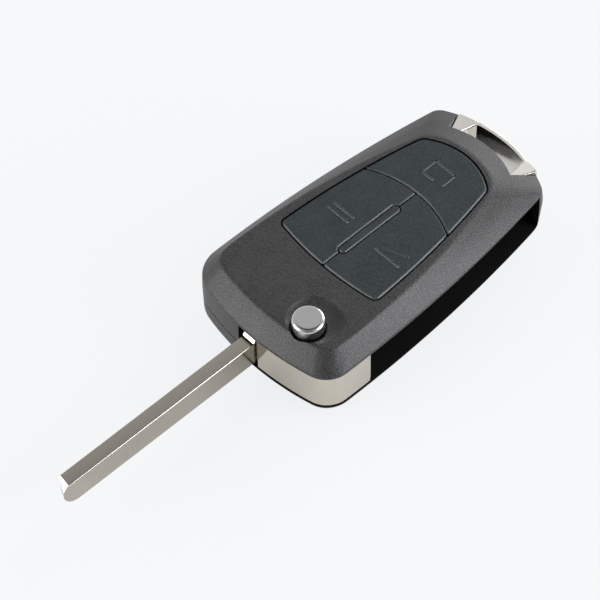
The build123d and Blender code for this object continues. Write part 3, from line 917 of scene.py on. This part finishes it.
# A cap with its hidden skirt and the stem that reaches its switch.
def keyCap(which):
    size = keySizes
    low, high = size["bottom"], size["top"]
    cap = share(prism(which + "Key", padPlan(), low, high), which, low - 1, high + 1)
    if which != "rear":
        cut(cap, prism("barRoom", barPlan(size["gap"]), low - 1, high + 1))
    highlightSlopes(soften(cap, size["edge"], 1, 45))
    skirt = cut(prism("skirt", padPlan(-size["skirtOut"]), low, size["skirtTop"]),
                prism("skirtHole", padPlan(size["skirtIn"]), low - 1, size["skirtTop"] + 1))
    share(skirt, which, low - 2, high + 2)
    x, y = keyPlaces[which]
    stem = rod("stem", x, y, size["stem"], size["stemLow"], low + size["stemRoot"], 48)
    return joined(which + "Key", [cap, skirt, stem])


# The tray under the caps, with the bar that stands up between them.
def keyTray():
    made = prism("keyFrame", padPlan(-pad["trayGrow"]), tray["low"], tray["high"])
    cut(made, prism("trayHollow", padPlan(-tray["wallInset"]), tray["floorZ"], tray["high"] + 0.7))
    for x, y in keyPlaces.values():
        cut(made, rod("stemRoom", x, y, tray["stemRoom"], tray["stemLow"], tray["stemTop"], 48))
    bar = soften(prism("bar", barPlan(0), barSizes["low"], keySizes["top"]), barSizes["edge"], 1, 60)
    return joined("keyFrame", [made, highlightSlopes(bar)])


strokes = {"width": 0.42, "rise": 0.13, "foot": 0.08, "root": 0.1, "crease": 0.01}
markLines = {
    "left": [[(21.75, 17.5), (21.75, 12.4)], [(23.2, 12.4), (23.2, 17.3)]],
    "right": [[(21.2, 4.1), (21.2, -1.8)], [(22.2, 3.3), (24.1, -1.5)]],
    "rear": [[(41.0, 6.1), (44.1, 6.1), (44.1, 11.3), (40.4, 11.3), (40.4, 8.6)]],
}


# Thin raised line through points on a cap, with sloped sides.
def mark(points):
    size, top = strokes, keySizes["top"]
    wide, narrow = size["width"] / 2 + size["foot"], size["width"] / 2 - size["foot"]
    sections = [(wide, top - size["root"]), (wide, top - size["crease"]), (narrow, top + size["rise"])]
    pieces = []
    for (x0, y0), (x1, y1) in zip(points, points[1:]):
        length = np.hypot(x1 - x0, y1 - y0)
        rings = []
        for half, z in sections:
            ux, uy = (x1 - x0) / length * half, (y1 - y0) / length * half
            rings.append([(x0 - ux + uy, y0 - uy - ux, z), (x1 + ux + uy, y1 + uy - ux, z),
                          (x1 + ux - uy, y1 + uy + ux, z), (x0 - ux - uy, y0 - uy + ux, z)])
        pieces.append(highlightSlopes(skin("stroke", rings)))
    return pieces


caps = {}
for which, lines in markLines.items():
    pieces = [keyCap(which)]
    for points in lines:
        pieces += mark(points)
    caps[which] = joined(which + "Key", pieces)
keyFrame = keyTray()
print("key pad built")
keyringLoop = loopFrame()
bladeHead = pivotBlock()
keyBlade = blankBlade()
releaseButton = pushButton()
flipSpring = coilSpring()
print("metal pieces built")


# Pieces on their bodies

def dress(made, materials, body, nodeNames, angle=35):
    for material in materials:
        made.data.materials.append(material)
    smoothed(made, angle)
    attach(made, body)
    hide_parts(*nodeNames)


dress(upperShell, [], "housing", ["upper_shell"], 32)
dress(lowerShell, [], "housing", ["lower_shell"], 32)
dress(keyFrame, [trayPlastic, highlightRubber], "housing", ["key_frame"])
for which, cap in caps.items():
    dress(cap, [keyRubber, highlightRubber], which + "_cap", [which + "_key"])
dress(keyringLoop, [], "housing", ["keyring_loop"])
dress(bladeHead, [satinNickel], "blade", ["blade_head"])
dress(keyBlade, [shadedBladeNickel], "blade", ["key_blade"])
dress(releaseButton, [plating], "release", ["release_button"])
dress(flipSpring, [], "blade", ["flip_spring"], 60)
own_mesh(flipSpring)
plainNodes = {
    "blade_roll_pin": springSteel, "coin_cell": cellSteel, "crystal": cellSteel,
    "left_switch": cellSteel, "right_switch": cellSteel, "rear_switch": cellSteel,
    "positive_contact": contactMetal, "negative_contact": contactMetal, "circuit_board": boardLaminate,
    "control_chip": chipPlastic, "antenna_coil": chipPlastic, "transponder_block": chipPlastic,
    "left_plunger": chipPlastic, "right_plunger": chipPlastic, "rear_plunger": chipPlastic,
}
for nodeName, material in plainNodes.items():
    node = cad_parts[nodeName]
    node.data.materials.clear()
    node.data.materials.append(material)
print("pieces dressed")


# Stage, light and camera

paleSheet = (0.913, 0.921, 0.939)


# Pale sheet that keeps a faint shadow; the shares say how much of its own colour each ray sees.
def paleFloor(cameraShare, mirrorShare):
    material = bpy.data.materials.new("paleFloor")
    material.use_nodes = True
    nodes, links = material.node_tree.nodes, material.node_tree.links
    shader = nodes["Principled BSDF"]
    shader.inputs["Base Color"].default_value = (*paleSheet, 1)
    shader.inputs["Roughness"].default_value = 0.9
    shader.inputs["Specular IOR Level"].default_value = 0.1
    glow = nodes.new("ShaderNodeEmission")
    glow.inputs["Color"].default_value = (*paleSheet, 1)
    path = nodes.new("ShaderNodeLightPath")
    factor = nodes.new("ShaderNodeMath")
    factor.operation = "MAXIMUM"
    for n, (ray, part) in enumerate((("Is Camera Ray", cameraShare), ("Is Glossy Ray", mirrorShare))):
        weigh = nodes.new("ShaderNodeMath")
        weigh.operation = "MULTIPLY"
        weigh.inputs[1].default_value = part
        links.new(path.outputs[ray], weigh.inputs[0])
        links.new(weigh.outputs["Value"], factor.inputs[n])
    pick = nodes.new("ShaderNodeMixShader")
    links.new(factor.outputs["Value"], pick.inputs["Fac"])
    links.new(shader.outputs["BSDF"], pick.inputs[1])
    links.new(glow.outputs["Emission"], pick.inputs[2])
    links.new(pick.outputs["Shader"], nodes["Material Output"].inputs["Surface"])
    return material


floorHalf, floorGap = 3.0, 0.0002
floorCorners = [(x * floorHalf, y * floorHalf, 0) for x, y in ((-1, -1), (1, -1), (1, 1), (-1, 1))]
floorMesh = bpy.data.meshes.new("floor")
floorMesh.from_pydata(floorCorners, [], [(0, 1, 2, 3)])
floor = bpy.data.objects.new("floor", floorMesh)
floor.location.z = -floorGap
bpy.context.scene.collection.objects.link(floor)
floorMesh.materials.append(paleFloor(0.9, 0.4))

lights = [  # name, direction, distance, size, power, colour
    ("backLight", (-0.86, 0.42, 0.28), 0.75, 0.56, 4.6, (1.0, 0.99, 0.97)),
    ("sideLight", (0.50, -0.80, 0.32), 0.70, 0.50, 5.0, (0.97, 0.98, 1.0)),
    ("rearLight", (0.93, 0.14, 0.34), 0.80, 0.60, 3.4, (0.98, 0.99, 1.0)),
]
lightsAim = Vector((0.02, 0.008, 0.01))
for name, direction, distance, size, power, colour in lights:
    lamp = bpy.data.lights.new(name, "AREA")
    lamp.shape = "DISK"
    lamp.size = size
    lamp.energy = power
    lamp.color = colour
    made = bpy.data.objects.new(name, lamp)
    towards = Vector(direction).normalized()
    made.location = lightsAim + towards * distance
    made.rotation_euler = towards.to_track_quat("Z", "Y").to_euler()
    bpy.context.scene.collection.objects.link(made)

world = bpy.data.worlds.new("studio")
bpy.context.scene.world = world
world.use_nodes = True
sky = world.node_tree
sky.nodes.clear()
out = sky.nodes.new("ShaderNodeOutputWorld")
lit = sky.nodes.new("ShaderNodeBackground")
seen = sky.nodes.new("ShaderNodeBackground")
seen.inputs["Color"].default_value = (*paleSheet, 1)
path = sky.nodes.new("ShaderNodeLightPath")
pick = sky.nodes.new("ShaderNodeMixShader")
where = sky.nodes.new("ShaderNodeTexCoord")
split = sky.nodes.new("ShaderNodeSeparateXYZ")
ramp = sky.nodes.new("ShaderNodeValToRGB")
# Height and brightness of the grey studio, from straight below to straight above.
shades = [(0.0, 1.05), (0.3, 1.0), (0.55, 0.82), (0.8, 0.78), (0.90, 0.28), (0.96, 0.10)]
while len(ramp.color_ramp.elements) < len(shades):
    ramp.color_ramp.elements.new(0.5)
for element, (position, shade) in zip(ramp.color_ramp.elements, shades):
    element.position = position
    element.color = (shade, shade, shade * 1.01, 1)
sky.links.new(where.outputs["Object"], split.inputs["Vector"])
sky.links.new(split.outputs["Z"], ramp.inputs["Fac"])
sky.links.new(ramp.outputs["Color"], lit.inputs["Color"])
# A dark card stands in front of the key's corner.
facing = sky.nodes.new("ShaderNodeVectorMath")
facing.operation = "DOT_PRODUCT"
facing.inputs[1].default_value = (-0.62, -0.72, 0.30)
card = sky.nodes.new("ShaderNodeMapRange")
card.inputs["From Min"].default_value = 0.70
card.inputs["From Max"].default_value = 0.95
card.inputs["To Min"].default_value = 0.90
card.inputs["To Max"].default_value = 0.20
sky.links.new(where.outputs["Object"], facing.inputs[0])
sky.links.new(facing.outputs["Value"], card.inputs["Value"])
sky.links.new(card.outputs["Result"], lit.inputs["Strength"])
sky.links.new(path.outputs["Is Camera Ray"], pick.inputs["Fac"])
sky.links.new(lit.outputs["Background"], pick.inputs[1])
sky.links.new(seen.outputs["Background"], pick.inputs[2])
sky.links.new(pick.outputs["Shader"], out.inputs["Surface"])

# The camera looks along these angles at a point of the key's top, which stands off the picture's middle.
azimuth, elevation, roll = radians(41.81), radians(53.40), radians(-1.76)
sight = Vector((30.6, 7.8, 16.6))
shiftX, shiftY, cameraDistance = 18.49, 16.89, 622
filmWidth, pixelsPerMm, pixels = 36, 5.3, 600
right = Vector((cos(azimuth), -sin(azimuth), 0))
upward = Vector((sin(azimuth) * sin(elevation), cos(azimuth) * sin(elevation), cos(elevation)))
ahead = Vector((sin(azimuth) * cos(elevation), cos(azimuth) * cos(elevation), -sin(elevation)))
axisX = cos(roll) * right + sin(roll) * upward
axisY = cos(roll) * upward - sin(roll) * right
cameraData = bpy.data.cameras.new("camera")
cameraData.lens = filmWidth * pixelsPerMm * cameraDistance / pixels
cameraData.sensor_width = filmWidth
camera = bpy.data.objects.new("camera", cameraData)
cameraPlace = (sight - shiftX * axisX - shiftY * axisY - cameraDistance * ahead) * mm
cameraTurn = Matrix((axisX, axisY, -ahead)).transposed().to_4x4()
camera.matrix_world = Matrix.Translation(cameraPlace) @ cameraTurn
bpy.context.scene.collection.objects.link(camera)
bpy.context.scene.camera = camera
cameraData.clip_start = 0.01
bpy.context.scene.view_settings.view_transform = "Standard"

print("stage, light and camera set")
